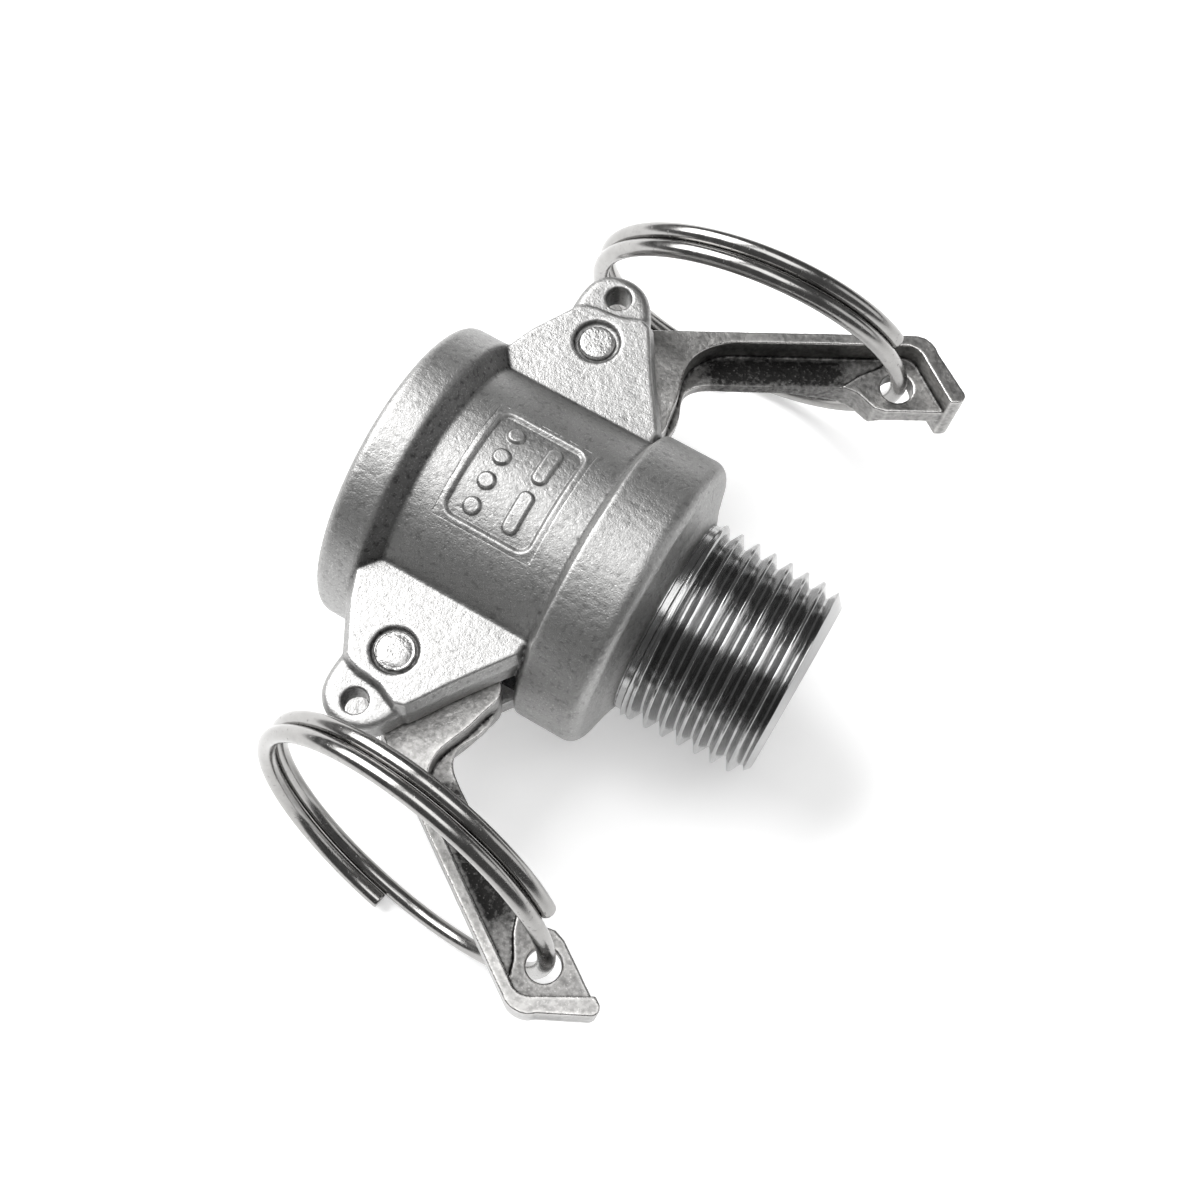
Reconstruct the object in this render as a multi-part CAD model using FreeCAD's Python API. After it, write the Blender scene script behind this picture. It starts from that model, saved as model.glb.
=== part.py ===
import FreeCAD, Part
import math
import os

V = FreeCAD.Vector
os.makedirs("parts", exist_ok=True)

# Frame: origin at the centre of the mouth face on the bore axis. +X runs along the bore to the
# threaded end, +Z is parallel to the pivot pins, +Y is the side of lever A. Millimetres.

# ---- driving dimensions -------------------------------------------------------------------
# mouth and barrel
LIP_R = 15.95           # outside radius of the mouth lip
LIP_X = 4.35            # where the lip starts to fall to the barrel
SHOULDER_X = 5.85       # foot of the lip's rear slope
BARREL_R = 14.15
CREASE_X = 21.70        # barrel ends, rear ring starts
REAR_X = 22.50
REAR_R = 15.50          # the ring that houses the gasket
REAR_END_X = 27.60      # where its big rear edge starts to round
BORE_R = 12.25          # takes a 24.0 mm adapter
BORE_CHAMFER = 0.40
SEAT_X = 22.60          # gasket recess, front and back
SEAT_END_X = 27.60
SEAT_R = 13.50
GASKET_R = 13.45
GASKET_BORE_R = 8.60
WATERWAY_R = 7.40
# threaded end, half inch taper pipe thread, 14 to the inch
NECK_X = 30.60
NECK_R = 10.15
THREAD_X = 31.40        # thread run-out
END_X = 45.10           # overall length
PITCH = 25.4 / 14.0
CREST_R_END = 10.20     # crest radius at the small end
TAPER = 1.0 / 32.0      # on radius
THREAD_DEPTH = 1.16
CREST_AT = 38.80        # a crest stands here at CREST_ANGLE round from +Y toward +Z
CREST_ANGLE = 23.8
# ears and tabs
EAR_Z = 8.15            # flat face of each ear
SLOT_HALF = 3.80        # half the width of the lever slot between the ears
TAB_Z = 7.25            # the tab steps down from the ear face
EAR_DRAFT = 0.60
WINDOW_X0, WINDOW_X1 = 6.30, 22.00
TAB_HOLE_R = 1.28
TAB_HOLE = (10.90, 24.32)
NOSE_CLEAR_Y = 12.09    # how near the bore axis the cam nose comes at its rest angle
PIN = (11.65, 18.57)    # pin axis, +Y side
PIN_R = 1.75
PIN_SINK_R = 2.30
PIN_SINK = 0.55
PIN_END_Z = 8.05
# levers
LEVER_HALF = 3.50
LEVER_BORE_R = 1.80
REST_A = 29.6           # degrees open from closed, as it rests
REST_B = 34.0
FLANGE_OUT = 4.10
FLANGE_IN = 2.90
WEB_HALF = 0.60
BOSS_HALF = 1.00
RING_HOLE = (31.00, -0.55)
RING_HOLE_R = 1.67
# rings
WIRE_R = 0.85
RING_R = 16.40          # centre line
RING_PITCH = 1.76
RING_TURNS = 1.65
RING_START = 30.0       # degrees past the lever hole
RING_LIFT = 1.20        # ring centre above the lever's mid plane
RING_A_YAW, RING_A_TILT = 0.095, 0.21
RING_B_YAW, RING_B_TILT = -0.13, -0.16


# ---- helpers ------------------------------------------------------------------------------
def revolve(points):
    """Solid of revolution about X. A point (x, r) is joined by a line, (x, r, xm, rm) by an arc through (xm, rm)."""
    edges, here = [], None
    for p in list(points) + [points[0]]:
        there = V(p[0], p[1], 0)
        if here is not None and here.distanceToPoint(there) > 1e-7:
            if len(p) == 4:
                edges.append(Part.Arc(here, V(p[2], p[3], 0), there).toShape())
            else:
                edges.append(Part.makeLine(here, there))
        here = there
    return Part.Face(Part.Wire(edges)).revolve(V(0, 0, 0), V(1, 0, 0), 360)


def tube(r, x0, x1):
    return Part.makeCylinder(r, x1 - x0, V(x0, 0, 0), V(1, 0, 0))


def rod(r, x, y, z0, z1):
    return Part.makeCylinder(r, z1 - z0, V(x, y, z0), V(0, 0, 1))


def box(x0, x1, y0, y1, z0, z1):
    return Part.makeBox(x1 - x0, y1 - y0, z1 - z0, V(x0, y0, z0))


def outline(points, z):
    """Closed wire of straight edges at height z."""
    pts = [V(x, y, z) for x, y in points]
    return Part.makePolygon(pts + [pts[0]])


def smooth(points, z, close=()):
    """Closed wire: one spline through points, then straight edges through the close points back to its start."""
    pts = [V(x, y, z) for x, y in points]
    c = Part.BSplineCurve()
    c.interpolate(pts)
    edges = [c.toShape()]
    here = pts[-1]
    for q in [V(x, y, z) for x, y in close] + [pts[0]]:
        edges.append(Part.makeLine(here, q))
        here = q
    return Part.Wire(edges)


def slab(wire, height):
    return Part.Face(wire).extrude(V(0, 0, height))


def flip_z(s):
    return s.mirror(V(0, 0, 0), V(0, 0, 1))


def flip_y(s):
    return s.mirror(V(0, 0, 0), V(0, 1, 0))


def rounded_face_edges(s, z, r, keep=lambda e: True):
    """Round the edges that lie in the plane at height z."""
    es = [
        e
        for e in s.Edges
        if abs(e.BoundBox.ZMin - z) < 1e-4 and abs(e.BoundBox.ZMax - z) < 1e-4 and keep(e)
    ]
    for size in (r, r * 0.8, r * 0.6, r * 0.4):
        try:
            t = s.makeFillet(size, es)
            if t.isValid() and t.Solids:
                return t
        except Exception:
            pass
    return s


# ---- coupler body -------------------------------------------------------------------------
outside = revolve(
    [
        (0.0, 8.0),
        (0.0, 14.95),
        (1.0, 15.95, 0.293, 15.657),
        (3.75, 15.95),
        (LIP_X + 0.25, 15.45, 4.30, 15.80),
        (SHOULDER_X, BARREL_R),
        (CREASE_X, BARREL_R),
        (REAR_X, REAR_R),
        (REAR_END_X, REAR_R),
        (29.35, 14.00, 28.83, 15.05),
        (29.90, 11.90),
        (30.35, 10.75),
        (NECK_X, NECK_R),
        (NECK_X + 0.4, NECK_R),
        (NECK_X + 0.4, WATERWAY_R),
    ]
)


def crest_r(x):
    return CREST_R_END + (END_X - x) * TAPER


# the flat raised faces of one ear, seen along Z on the +Y side
EAR_FACE = [
    (6.00, 9.50),
    (4.40, 13.60),
    (5.50, 16.50),
    (6.85, 18.90),
    (8.05, 21.05),
    (8.70, 21.45),
    (9.80, 21.75),
    (11.40, 21.88),
    (12.40, 22.05),
    (13.40, 22.50),
    (14.30, 22.85),
    (15.20, 22.55),
    (16.00, 21.35),
    (17.55, 18.80),
    (19.35, 16.15),
    (21.45, 13.15),
    (21.45, 9.50),
]


def offset_outline(points, d):
    """Straight-edged outline moved out by d (points run clockwise seen from +Z)."""
    n = len(points)
    area = sum(
        points[i][0] * points[(i + 1) % n][1] - points[(i + 1) % n][0] * points[i][1]
        for i in range(n)
    )
    s = 1.0 if area < 0 else -1.0
    out = []
    for i in range(n):
        (ax, ay), (bx, by), (cx, cy) = points[i - 1], points[i], points[(i + 1) % n]
        ux, uy = bx - ax, by - ay
        vx, vy = cx - bx, cy - by
        lu, lv = math.hypot(ux, uy), math.hypot(vx, vy)
        n1 = (-uy / lu * s, ux / lu * s)
        n2 = (-vy / lv * s, vx / lv * s)
        mx, my = n1[0] + n2[0], n1[1] + n2[1]
        k = 2.0 / (mx * mx + my * my)
        k = min(k, 1.6)
        out.append((bx + mx * k * d, by + my * k * d))
    return out


base = offset_outline(EAR_FACE, EAR_DRAFT)
ear = slab(outline(base, SLOT_HALF - 1.0), 6.75 - SLOT_HALF + 1.0)
bevel = Part.makeLoft([outline(base, 6.75), outline(EAR_FACE, EAR_Z)], True, True)
ear = ear.fuse(bevel)
# the tab carries the locking hole; its face is lower than the ear's
tab_outline = smooth(
    [
        (7.30, 20.60),
        (7.20, 23.20),
        (7.75, 25.30),
        (9.10, 26.55),
        (11.00, 26.95),
        (12.80, 26.45),
        (14.10, 25.20),
        (15.00, 23.60),
        (15.70, 22.10),
    ],
    SLOT_HALF - 1.0,
    close=[(14.0, 18.5), (9.0, 18.5)],
)
tab = slab(tab_outline, TAB_Z - SLOT_HALF + 1.0)
tab = rounded_face_edges(tab, TAB_Z, 0.95, keep=lambda e: e.BoundBox.YMax > 23)
front = ear.fuse(tab)
ears = front.fuse(flip_z(front))
ears = ears.fuse(flip_y(ears))

body = outside.fuse(ears)
# ears may not reach inside the bore or past the mouth, and the thread is cut on its own blank
blank = revolve(
    [
        (NECK_X + 0.4, WATERWAY_R),
        (NECK_X + 0.4, NECK_R),
        (THREAD_X, NECK_R),
        (THREAD_X + 0.35, crest_r(THREAD_X + 0.35)),
        (END_X - 1.15, crest_r(END_X - 1.15)),
        (END_X, CREST_R_END - 1.35),
        (END_X, WATERWAY_R + 0.7),
        (END_X - 0.7, WATERWAY_R),
    ]
)
# taper pipe thread: one helical groove cut through the blank. It is swept from beyond the small end
# back toward the neck, so its radius grows with the taper.
START_X = END_X + 1.1 * PITCH
RUN = START_X - (THREAD_X + 0.55)
root_r = crest_r(START_X) - THREAD_DEPTH
flank = math.tan(math.radians(30.0))
cut_depth = THREAD_DEPTH + 0.14
half_root = 0.12
half_top = half_root + cut_depth * flank
path = Part.makeHelix(PITCH, RUN, root_r, math.degrees(math.atan(TAPER)))
section = Part.makePolygon(
    [
        V(root_r, 0, -half_root),
        V(root_r + cut_depth, 0, -half_top),
        V(root_r + cut_depth, 0, half_top),
        V(root_r, 0, half_root),
        V(root_r, 0, -half_root),
    ]
)
cutter = Part.Wire(path.Edges).makePipeShell([section], True, True)
cutter.rotate(V(0, 0, 0), V(0, 1, 0), -90)
turn = (START_X - CREST_AT - PITCH / 2.0) / PITCH * 360.0 - (90.0 - CREST_ANGLE)
cutter.rotate(V(0, 0, 0), V(1, 0, 0), turn)
cutter.translate(V(START_X, 0, 0))
blank.rotate(V(0, 0, 0), V(1, 0, 0), 45.0 + turn)
blank = blank.cut(cutter)
blank = max(blank.Solids, key=lambda q: q.Volume)


# cavities
body = body.cut(tube(BORE_R, -1.0, SEAT_X + 0.1))
body = body.cut(
    revolve(
        [
            (-1.0, 0.0),
            (-1.0, BORE_R + BORE_CHAMFER + 1.0),
            (BORE_CHAMFER, BORE_R),
            (BORE_CHAMFER, 0.0),
        ]
    )
)
body = body.cut(tube(SEAT_R, SEAT_X, SEAT_END_X))
body = body.cut(tube(WATERWAY_R, SEAT_END_X - 0.5, NECK_X + 2.0))
# lever slots, right through to the bore as the cam windows
slot = box(WINDOW_X0, WINDOW_X1, 9.0, 32.0, -SLOT_HALF, SLOT_HALF)
slot = slot.fuse(box(2.0, 26.0, LIP_R + 0.02, 32.0, -SLOT_HALF, SLOT_HALF))
body = body.cut(slot.fuse(flip_y(slot)))
# pin holes with their sinks, and the locking holes
for side in (1, -1):
    px, py = PIN[0], PIN[1] * side
    body = body.cut(rod(PIN_R, px, py, -12, 12))
    body = body.cut(rod(PIN_SINK_R, px, py, EAR_Z - PIN_SINK, 12))
    body = body.cut(rod(PIN_SINK_R, px, py, -12, -EAR_Z + PIN_SINK))
    body = body.cut(rod(TAB_HOLE_R, TAB_HOLE[0], TAB_HOLE[1] * side, -12, 12))

# cast panel on the barrel: a shallow pocket with plain raised marks, no writing
PANEL_X = (9.05, 18.25)
PANEL_S = (-6.40, 5.50)     # arc length from the top of the barrel, + toward lever A
PANEL_DEPTH = 0.28
PANEL_CORNER = 1.2


def on_barrel(x0, x1, s0, s1, corner):
    """A plug standing on the top of the barrel, rounded at its corners, long along Z."""
    y0, y1 = BARREL_R * math.sin(s0 / BARREL_R), BARREL_R * math.sin(s1 / BARREL_R)
    b = box(x0, x1, y0, y1, 9.0, 20.0)
    if corner:
        es = [e for e in b.Edges if abs(e.BoundBox.ZLength - 11.0) < 1e-6]
        b = b.makeFillet(corner, es)
    return b


skin = tube(BARREL_R + 2.0, 6.0, 21.6).cut(tube(BARREL_R - PANEL_DEPTH, 5.0, 22.0))
pocket = on_barrel(*PANEL_X, *PANEL_S, PANEL_CORNER).common(skin)
marks = []
# upper row: four round pips; lower row: two plain bars
for s in (-4.6, -1.9, 0.8, 3.5):
    y = BARREL_R * math.sin(s / BARREL_R)
    marks.append(Part.makeCylinder(0.85, 11.0, V(11.5, y, 9.0), V(0, 0, 1)))
for s0, s1 in ((-5.3, -1.0), (0.1, 4.3)):
    marks.append(on_barrel(14.75, 16.35, s0, s1, 0.7))
raised = marks[0]
for m in marks[1:]:
    raised = raised.fuse(m)
pocket = pocket.cut(raised)
body = body.cut(pocket)

body = body.removeSplitter()
body = body.fuse(blank)
body = max(body.Solids, key=lambda s: s.Volume)

# ---- gasket -------------------------------------------------------------------------------
gasket = revolve(
    [
        (SEAT_X + 0.15, GASKET_BORE_R + 0.4),
        (SEAT_X + 0.15, GASKET_R - 0.5),
        (SEAT_X + 0.65, GASKET_R, SEAT_X + 0.30, GASKET_R - 0.15),
        (SEAT_END_X - 0.5, GASKET_R),
        (SEAT_END_X, GASKET_R - 0.5, SEAT_END_X - 0.15, GASKET_R - 0.15),
        (SEAT_END_X, GASKET_BORE_R + 0.4),
        (SEAT_END_X - 0.4, GASKET_BORE_R, SEAT_END_X - 0.12, GASKET_BORE_R + 0.12),
        (SEAT_X + 0.55, GASKET_BORE_R),
        (SEAT_X + 0.15, GASKET_BORE_R + 0.4, SEAT_X + 0.27, GASKET_BORE_R + 0.12),
    ]
)

# ---- pivot pins ---------------------------------------------------------------------------


def pin(side):
    p = rod(PIN_R, PIN[0], PIN[1] * side, -PIN_END_Z, PIN_END_Z)
    es = [e for e in p.Edges if e.BoundBox.ZLength < 1e-6]
    return p.makeChamfer(0.18, es)


# ---- cam lever, in its own frame: pivot at the origin, +X along the handle, +Y outward -----


def lever():
    full = LEVER_HALF
    # head with the cam leg
    head = smooth(
        [
            (15.00, 2.95),
            (13.30, 2.80),
            (11.40, 2.15),
            (9.90, 1.05),
            (8.95, -0.80),
            (8.35, -3.30),
            (7.50, -5.70),
            (6.80, -7.40),
            (5.20, -8.25),
            (2.60, -8.35),
            (0.20, -8.05),
            (-1.90, -6.80),
            (-3.30, -4.60),
            (-4.15, -1.60),
            (-4.10, 1.20),
            (-2.70, 3.30),
            (-0.60, FLANGE_OUT),
        ],
        -full,
        close=[(15.00, FLANGE_OUT)],
    )
    s = slab(head, 2 * full)
    # outer flange, bending inward round the tip
    flange = Part.Wire(
        [
            Part.makeLine(V(0.0, FLANGE_OUT, -full), V(32.6, FLANGE_OUT, -full)),
            Part.Arc(
                V(32.6, FLANGE_OUT, -full), V(33.98, 3.47, -full), V(34.75, 2.10, -full)
            ).toShape(),
            Part.makeLine(V(34.75, 2.10, -full), V(37.05, -2.15, -full)),
            Part.Arc(
                V(37.05, -2.15, -full), V(37.10, -3.00, -full), V(36.50, -3.40, -full)
            ).toShape(),
            Part.makeLine(V(36.50, -3.40, -full), V(35.70, -3.40, -full)),
            Part.makeLine(V(35.70, -3.40, -full), V(33.40, 1.35, -full)),
            Part.Arc(
                V(33.40, 1.35, -full), V(32.80, 2.35, -full), V(31.75, FLANGE_IN, -full)
            ).toShape(),
            Part.makeLine(V(31.75, FLANGE_IN, -full), V(0.0, FLANGE_IN, -full)),
            Part.makeLine(V(0.0, FLANGE_IN, -full), V(0.0, FLANGE_OUT, -full)),
        ]
    )
    s = s.fuse(slab(flange, 2 * full))
    # thin web along the middle, and the leg's inner rim
    web = smooth(
        [
            (25.40, -0.55),
            (20.00, -0.58),
            (14.00, -0.58),
            (11.60, -0.58),
            (10.30, -0.85),
            (9.40, -1.45),
            (8.95, -2.60),
            (8.75, -4.20),
            (8.20, -5.60),
            (7.35, -6.80),
            (6.20, -7.60),
        ],
        -WEB_HALF,
        close=[(3.0, 0.0), (3.0, 3.4), (33.3, 3.4), (33.3, -0.55)],
    )
    s = s.fuse(slab(web, 2 * WEB_HALF))
    # boss round the ring hole
    boss = outline(
        [
            (25.40, -0.55),
            (27.20, 0.75),
            (29.40, 1.75),
            (31.00, 3.10),
            (32.90, 3.10),
            (33.95, 1.00),
            (35.85, -3.25),
            (29.80, -3.25),
            (28.60, -2.90),
            (26.90, -1.20),
        ],
        -BOSS_HALF,
    )
    s = s.fuse(slab(boss, 2 * BOSS_HALF))
    # stiffening rib on the back of the web, deepening toward the boss
    rib = Part.makePolygon(
        [
            V(19.5, 0, 0.0),
            V(19.5, 0, -0.55),
            V(26.3, 0, -2.30),
            V(28.4, 0, -2.30),
            V(30.2, 0, -0.95),
            V(30.2, 0, 0.0),
            V(19.5, 0, 0.0),
        ]
    )
    rib_outline = slab(
        outline(
            [
                (19.0, -0.55),
                (25.4, -0.55),
                (26.9, -1.20),
                (28.6, -2.90),
                (30.5, -3.25),
                (30.5, -2.30),
                (29.0, -2.05),
                (27.2, -0.20),
                (25.2, 0.45),
                (19.0, 0.45),
            ],
            -5.0,
        ),
        10.0,
    )
    rib_body = Part.Face(rib).extrude(V(0, 8, 0))
    rib_body.translate(V(0, -5, 0))
    s = s.fuse(rib_body.common(rib_outline))
    s = s.removeSplitter()
    # the nose is relieved on its trailing side, so that it is out of the bore once the
    # lever stands open by its rest angle
    for turn in (REST_A, REST_B):
        s.rotate(V(0, 0, 0), V(0, 0, 1), turn)
        s = s.cut(Part.makeBox(24, 4, 12, V(-12, -(PIN[1] - NOSE_CLEAR_Y) - 4, -6)))
        s.rotate(V(0, 0, 0), V(0, 0, 1), -turn)
    s = s.cut(rod(LEVER_BORE_R, 0, 0, -10, 10))
    s = s.cut(rod(RING_HOLE_R, RING_HOLE[0], RING_HOLE[1], -10, 10))
    return max(s.Solids, key=lambda q: q.Volume)


def place_lever(s, rest, side):
    s = s.copy()
    s.rotate(V(0, 0, 0), V(0, 0, 1), rest)
    s.translate(V(PIN[0], PIN[1], 0))
    return flip_y(s) if side < 0 else s


def ring_hole_at(rest, side):
    c, n = math.cos(math.radians(rest)), math.sin(math.radians(rest))
    u, v = RING_HOLE
    return V(PIN[0] + u * c - v * n, side * (PIN[1] + u * n + v * c), 0)


# ---- split ring: one round wire wound a little over one and a half turns --------------------


def split_ring(hole, yaw, tilt):
    """Coil of round wire, made of tangent circular bends, two to each span of the coil."""
    spans = 9
    step = RING_TURNS * 360.0 / spans

    def at(deg):
        t = math.radians(deg)
        return V(RING_R * math.cos(t), RING_R * math.sin(t), RING_PITCH * deg / 360.0)

    def along(deg):
        t = math.radians(deg)
        return V(
            -RING_R * math.sin(t), RING_R * math.cos(t), RING_PITCH / (2 * math.pi)
        ).normalize()

    def bend(a, ta, q, b):
        """Wire bent round one circular arc from a, leaving along ta, to b; q is where its end tangents meet."""
        d = q.distanceToPoint(a)
        tb = (b - q).normalize()
        turn = math.acos(max(-1.0, min(1.0, ta.dot(tb))))
        radius = d / math.tan(turn / 2.0)
        n = (tb - ta * ta.dot(tb)).normalize()
        disc = Part.Face(Part.Wire([Part.makeCircle(WIRE_R, a, ta)]))
        return disc.revolve(a + n * radius, ta.cross(n), math.degrees(turn)), tb

    pieces = []
    for i in range(spans):
        p0, t0 = at(i * step), along(i * step)
        p1, t1 = at((i + 1) * step), along((i + 1) * step)
        v = p1 - p0
        k2, k1, k0 = 2.0 * (t0.dot(t1) - 1.0), -2.0 * v.dot(t0 + t1), v.dot(v)
        root = math.sqrt(k1 * k1 - 4.0 * k2 * k0)
        d = max((-k1 + root) / (2 * k2), (-k1 - root) / (2 * k2))
        q0, q1 = p0 + t0 * d, p1 - t1 * d
        middle = (q0 + q1) * 0.5
        one, tm = bend(p0, t0, q0, middle)
        two, _ = bend(middle, tm, q1, p1)
        pieces += [one, two]
    s = pieces[0].multiFuse(pieces[1:])
    s = s.Solids[0] if len(s.Solids) == 1 else s
    s.rotate(V(0, 0, 0), V(0, 0, 1), RING_START)
    at_hole = -math.degrees(math.asin(RING_LIFT / (RING_R * math.cos(tilt))))
    s.translate(V(0, 0, -RING_PITCH * (360.0 + at_hole - RING_START) / 360.0))
    # local X, Y, Z of the ring: toward the hole, up, and their cross product
    h = V(math.cos(yaw), math.sin(yaw), 0)
    across = V(-math.sin(yaw), math.cos(yaw), 0)
    w = across * (-math.sin(tilt)) + V(0, 0, 1) * math.cos(tilt)
    k = h.cross(w)
    a = math.radians(at_hole)
    c = hole - h * (RING_R * math.cos(a)) - w * (RING_R * math.sin(a))
    m = FreeCAD.Matrix(
        h.x, w.x, k.x, c.x,
        h.y, w.y, k.y, c.y,
        h.z, w.z, k.z, c.z,
        0, 0, 0, 1,
    )
    s.transformShape(m)
    return s if s.Volume > 0 else s.reversed()


plain_lever = lever()
nodes = {
    "coupler_body": body,
    "gasket": gasket,
    "pivot_pin_a": pin(1),
    "pivot_pin_b": pin(-1),
    "cam_lever_a": place_lever(plain_lever, REST_A, 1),
    "cam_lever_b": place_lever(plain_lever, REST_B, -1),
    "pull_ring_a": split_ring(ring_hole_at(REST_A, 1), RING_A_YAW, RING_A_TILT),
    "pull_ring_b": split_ring(ring_hole_at(REST_B, -1), RING_B_YAW, RING_B_TILT),
}
for name, shape in nodes.items():
    b = shape.BoundBox
    print(
        "%-14s valid %s solids %d volume %.1f  x %.2f..%.2f y %.2f..%.2f z %.2f..%.2f"
        % (name, shape.isValid(), len(shape.Solids), shape.Volume, b.XMin, b.XMax, b.YMin, b.YMax, b.ZMin, b.ZMax)
    )
    shape.exportStep("parts/%s.step" % name)
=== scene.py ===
import math

import bmesh
import bpy
import numpy as np
from mathutils import Matrix, Vector, noise


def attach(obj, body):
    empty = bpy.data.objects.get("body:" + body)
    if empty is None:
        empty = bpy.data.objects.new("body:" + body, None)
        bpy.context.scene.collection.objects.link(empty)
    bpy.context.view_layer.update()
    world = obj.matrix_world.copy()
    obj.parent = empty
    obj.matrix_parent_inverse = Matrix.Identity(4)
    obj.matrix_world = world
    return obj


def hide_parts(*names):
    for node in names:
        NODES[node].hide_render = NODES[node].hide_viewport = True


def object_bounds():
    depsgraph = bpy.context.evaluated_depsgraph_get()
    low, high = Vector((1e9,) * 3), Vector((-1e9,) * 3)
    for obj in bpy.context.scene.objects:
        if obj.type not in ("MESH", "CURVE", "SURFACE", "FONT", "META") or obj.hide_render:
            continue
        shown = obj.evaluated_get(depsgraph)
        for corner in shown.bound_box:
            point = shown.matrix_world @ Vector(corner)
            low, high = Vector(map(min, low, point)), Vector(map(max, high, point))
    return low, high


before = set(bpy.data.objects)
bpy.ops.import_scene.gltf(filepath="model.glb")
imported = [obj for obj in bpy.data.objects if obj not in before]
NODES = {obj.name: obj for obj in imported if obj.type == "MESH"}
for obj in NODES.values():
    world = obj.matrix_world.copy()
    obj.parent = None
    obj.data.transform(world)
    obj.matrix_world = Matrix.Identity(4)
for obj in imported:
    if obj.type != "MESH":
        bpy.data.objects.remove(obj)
cad_lo, cad_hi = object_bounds()
MM = 0.001
scene = bpy.context.scene

# sizes in millimetres, as in the part's source
PITCH = 25.4 / 14.0
TAPER = 1.0 / 32.0
NECK_X, NECK_R = 30.60, 10.15
THREAD_X, END_X = 31.40, 45.10
CREST_R_END, THREAD_DEPTH = 10.20, 1.16
CREST_AT, CREST_ANGLE = 38.80, 23.8
WATERWAY_R = 7.40
BARREL_R = 14.15
PIN = (11.65, 18.57)
PIN_R, PIN_SINK_R, PIN_SINK, PIN_END_Z, EAR_Z = 1.75, 2.30, 0.55, 8.05, 8.15
REST_A, REST_B = 29.6, 34.0
RING_HOLE = (31.00, -0.55)
WIRE_R, RING_R, RING_PITCH, RING_TURNS, RING_START, RING_LIFT = 0.85, 16.40, 1.76, 1.65, 30.0, 1.20
RING_A_YAW, RING_A_TILT = 0.095, 0.21
RING_B_YAW, RING_B_TILT = -0.13, -0.16


# ---- mesh helpers (all in millimetres until make()) ------------------------------------------
def make(name, verts, faces, body, mats, face_mat=None, smooth=True, replaces=()):
    me = bpy.data.meshes.new(name)
    me.from_pydata((np.asarray(verts) * MM).tolist(), [], [list(map(int, f)) for f in faces])
    me.validate()
    bm = bmesh.new()
    bm.from_mesh(me)
    bmesh.ops.recalc_face_normals(bm, faces=bm.faces)
    bm.to_mesh(me)
    bm.free()
    me.polygons.foreach_set("use_smooth", [smooth] * len(me.polygons))
    for m in mats:
        me.materials.append(m)
    if face_mat is not None:
        me.polygons.foreach_set("material_index", np.asarray(face_mat, int))
    o = bpy.data.objects.new(name, me)
    scene.collection.objects.link(o)
    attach(o, body)
    if replaces:
        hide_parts(*replaces)
    return o


def lap(co, e, n, k, passes, back):
    """Taubin smoothing: k out, back in, over the edges e of n points."""
    deg = np.bincount(e[:, 0], minlength=n) + np.bincount(e[:, 1], minlength=n)
    deg = np.maximum(deg, 1)[:, None]
    for _ in range(passes):
        for f in (k, -back):
            if f == 0:
                continue
            s = np.empty_like(co)
            for a in range(3):
                s[:, a] = np.bincount(e[:, 0], co[e[:, 1], a], n) + np.bincount(
                    e[:, 1], co[e[:, 0], a], n
                )
            co = co + f * (s / deg - co)
    return co


def fbm(p, scale, octaves=3, seed=0.0):
    out = np.empty(len(p))
    q = p * scale + np.array([seed, seed * 1.7, -seed])
    fr = noise.fractal
    for i, v in enumerate(q.tolist()):
        out[i] = fr(Vector(v), 1.0, 2.0, octaves)
    return out


def normals_of(co, faces):
    a, b, c, d = (co[faces[:, i]] for i in range(4))
    fn = np.cross(c - a, d - b)
    out = np.zeros_like(co)
    for i in range(4):
        for k in range(3):
            out[:, k] += np.bincount(faces[:, i], fn[:, k], len(co))
    return out / np.maximum(np.linalg.norm(out, axis=1), 1e-12)[:, None]


def softened(node, voxel, passes, cut_x=None, k=0.55, back=0.50):
    """Points and quads of a CAD node's skin, with its hard edges rounded as a casting's are."""
    me = NODES[node].data.copy()
    me.transform(Matrix.Scale(1000.0, 4))
    bm = bmesh.new()
    bm.from_mesh(me)
    bmesh.ops.remove_doubles(bm, verts=bm.verts, dist=2e-4)
    if cut_x is not None:
        g = bm.verts[:] + bm.edges[:] + bm.faces[:]
        cut = bmesh.ops.bisect_plane(
            bm, geom=g, plane_co=(cut_x, 0, 0), plane_no=(1, 0, 0), clear_outer=True
        )
        rim = [x for x in cut["geom_cut"] if isinstance(x, bmesh.types.BMEdge)]
        bmesh.ops.triangle_fill(bm, use_beauty=True, use_dissolve=False, edges=rim)
    bm.to_mesh(me)
    bm.free()
    o = bpy.data.objects.new("tmp", me)
    scene.collection.objects.link(o)
    m = o.modifiers.new("r", "REMESH")
    m.mode = "VOXEL"
    m.voxel_size = voxel
    m.adaptivity = 0.0
    dg = bpy.context.evaluated_depsgraph_get()
    out = bpy.data.meshes.new_from_object(o.evaluated_get(dg))
    bpy.data.objects.remove(o)
    n = len(out.vertices)
    co = np.empty(n * 3)
    out.vertices.foreach_get("co", co)
    co = co.reshape(-1, 3)
    e = np.empty(len(out.edges) * 2, int)
    out.edges.foreach_get("vertices", e)
    e = e.reshape(-1, 2)
    faces = np.array([list(p.vertices) for p in out.polygons if len(p.vertices) == 4])
    bpy.data.meshes.remove(out)
    co = lap(co, e, n, k, passes, back)
    far = lap(co, e, n, 0.6, 10, 0.0)
    nrm = normals_of(co, faces)
    edge = ((co - far) * nrm).sum(1)
    return co, faces, nrm, edge


def add_attribute(o, name, values):
    a = o.data.attributes.new(name, "FLOAT", "POINT")
    a.data.foreach_set("value", np.asarray(values, np.float32))


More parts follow.
